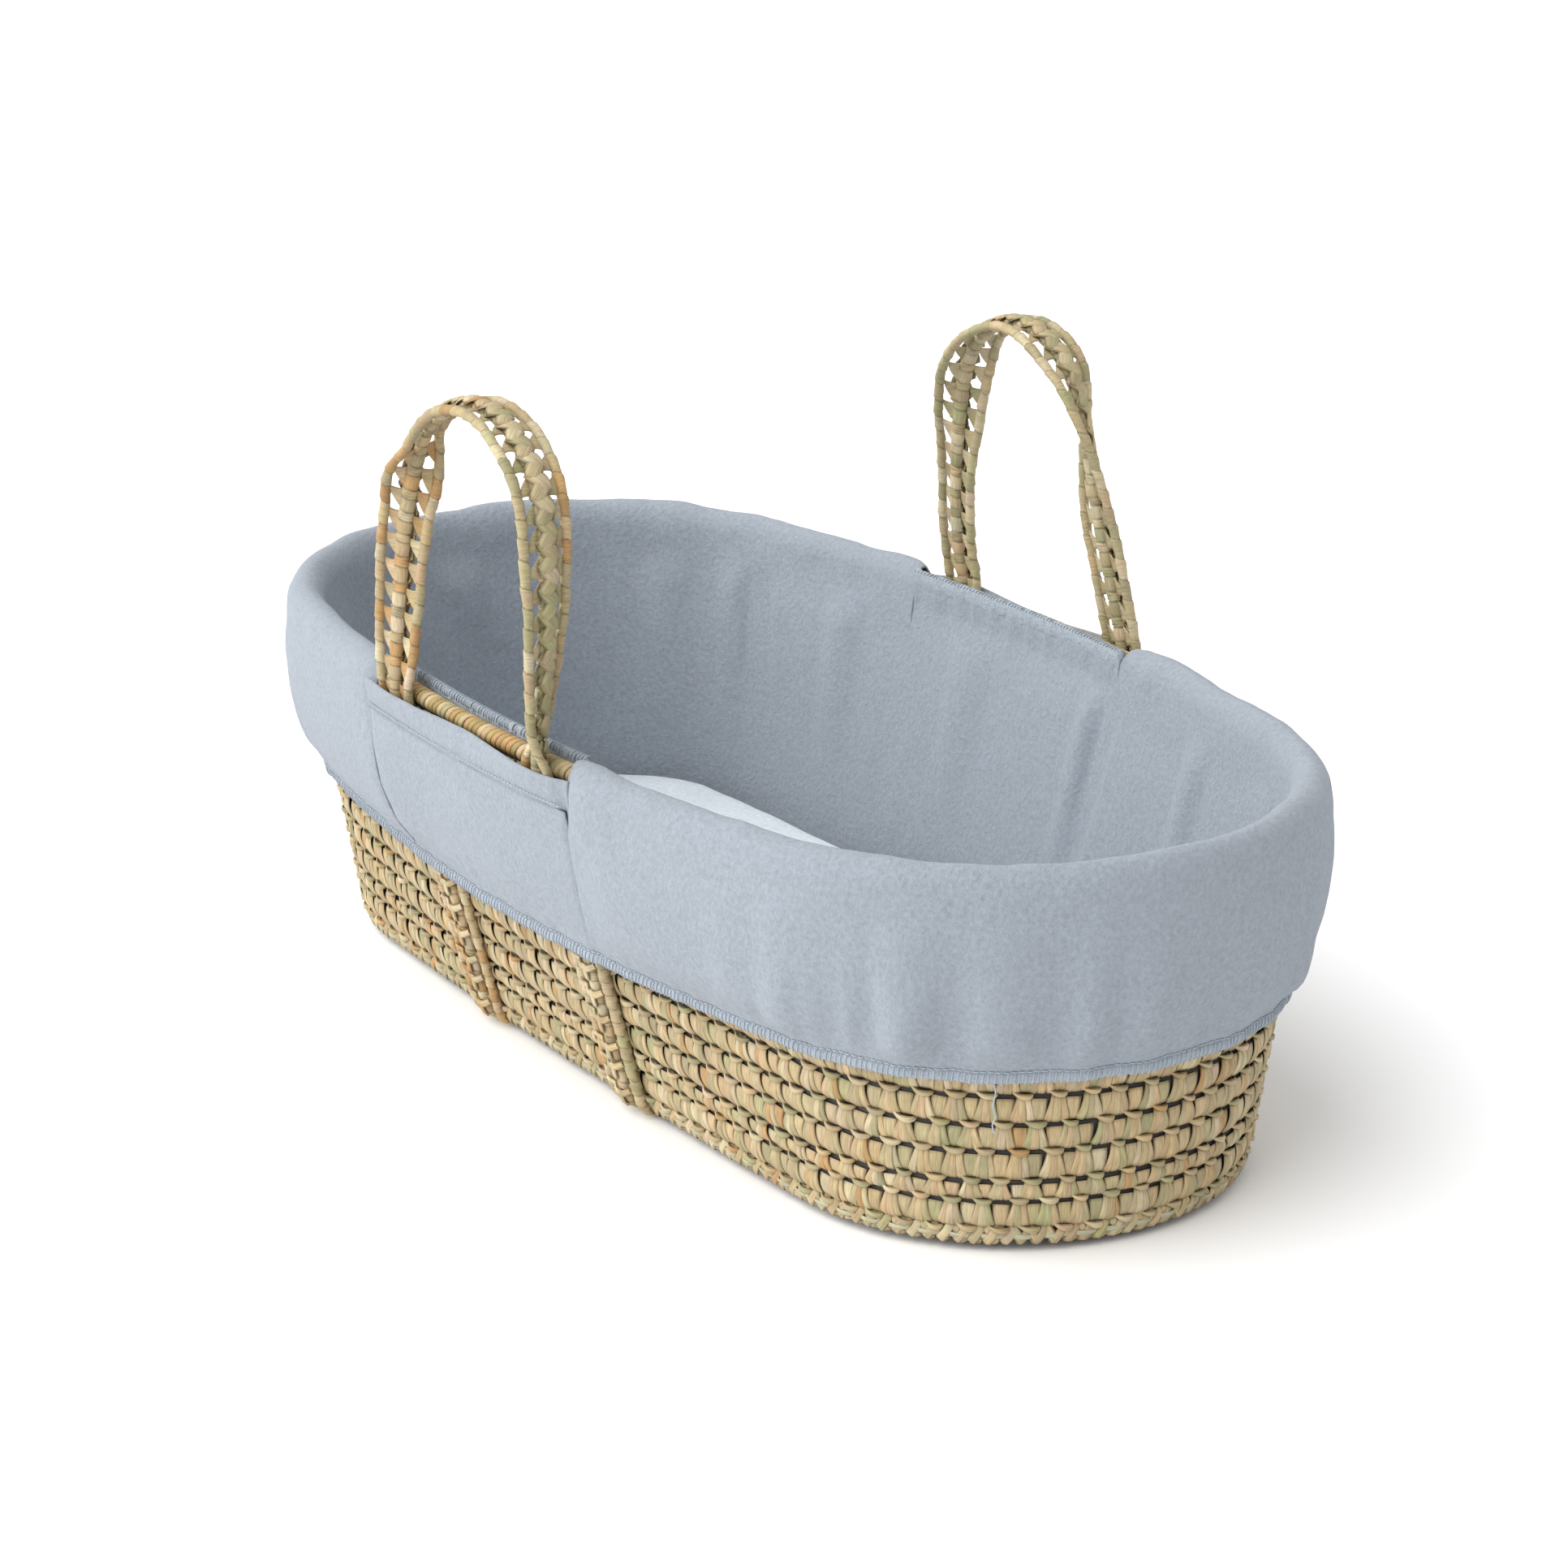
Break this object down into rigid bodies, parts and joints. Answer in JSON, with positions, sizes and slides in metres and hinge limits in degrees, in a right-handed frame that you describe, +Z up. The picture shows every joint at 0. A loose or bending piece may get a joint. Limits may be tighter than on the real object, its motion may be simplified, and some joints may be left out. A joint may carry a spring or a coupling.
{
  "type": "moses basket",
  "caption": "Oval palm-leaf moses basket with two woven folding handles, a padded grey fleece liner over the rim and a lift-out white mattress.",
  "frame": {"origin": "middle of the footprint, on the surface the basket stands on", "axes": "+X along the basket's length, -Y its front side, +Z up"},
  "size_m": [0.852, 0.4274, 0.414],
  "materials": {
    "palm_straw": "dry natural palm leaf, pale straw to orange tan",
    "palm_olive": "dry natural palm leaf, greenish beige",
    "fleece": "soft brushed grey-blue fleece",
    "sewing": "grey-blue thread and elastic casing",
    "cover": "soft white brushed cotton",
    "foam": "open-cell foam"
  },
  "bodies": {
    "basket": {"wall_course_01": "palm_straw", "wall_course_02": "palm_straw", "wall_course_03": "palm_olive", "wall_course_04": "palm_straw", "wall_course_05": "palm_straw", "wall_course_06": "palm_olive", "wall_course_07": "palm_straw", "wall_course_08": "palm_straw", "wall_course_09": "palm_olive", "wall_course_10": "palm_straw", "wall_course_11": "palm_straw", "wall_course_12": "palm_olive", "rim_coil": "palm_straw", "base_course_1": "palm_straw", "base_course_2": "palm_straw", "base_course_3": "palm_olive", "base_course_4": "palm_straw", "base_course_5": "palm_straw", "base_course_6": "palm_olive", "base_course_7": "palm_straw", "base_core": "palm_olive", "strap_left": "palm_straw", "strap_right": "palm_olive", "strap_ties_left": "palm_olive", "strap_ties_right": "palm_olive", "liner_wall": "fleece", "liner_floor": "fleece", "liner_roll_left": "fleece", "liner_roll_right": "fleece", "skirt_left": "fleece", "skirt_right": "fleece", "front_flap": "fleece", "back_flap": "fleece", "front_flap_binding": "fleece", "back_flap_binding": "fleece", "front_slot_elastic": "sewing", "back_slot_elastic": "sewing", "hem_elastic": "sewing"},
    "front_handle": {"front_handle_rod_a": "palm_straw", "front_handle_rod_b": "palm_olive", "front_handle_braid": "palm_olive", "front_handle_webs": "palm_straw"},
    "back_handle": {"back_handle_rod_a": "palm_straw", "back_handle_rod_b": "palm_olive", "back_handle_braid": "palm_olive", "back_handle_webs": "palm_straw"},
    "mattress": {"mattress_foam": "foam", "mattress_cover_top": "cover", "mattress_cover_base": "cover"}
  },
  "joints": [
    {"name": "front_handle_fold", "type": "hinge", "parent": "basket", "child": "front_handle", "pos_m": [-0.008, -0.2035, 0.228], "axis": [1, 0, 0], "range_deg": [-50, 105], "stiffness_Nm_per_rad": 0.3},
    {"name": "back_handle_fold", "type": "hinge", "parent": "basket", "child": "back_handle", "pos_m": [-0.008, 0.2035, 0.228], "axis": [-1, 0, 0], "range_deg": [-48, 105], "stiffness_Nm_per_rad": 0.3},
    {"name": "mattress_lift", "type": "slide", "parent": "basket", "child": "mattress", "axis": [0, 0, 1], "range_m": [0, 0.45]}
  ]
}
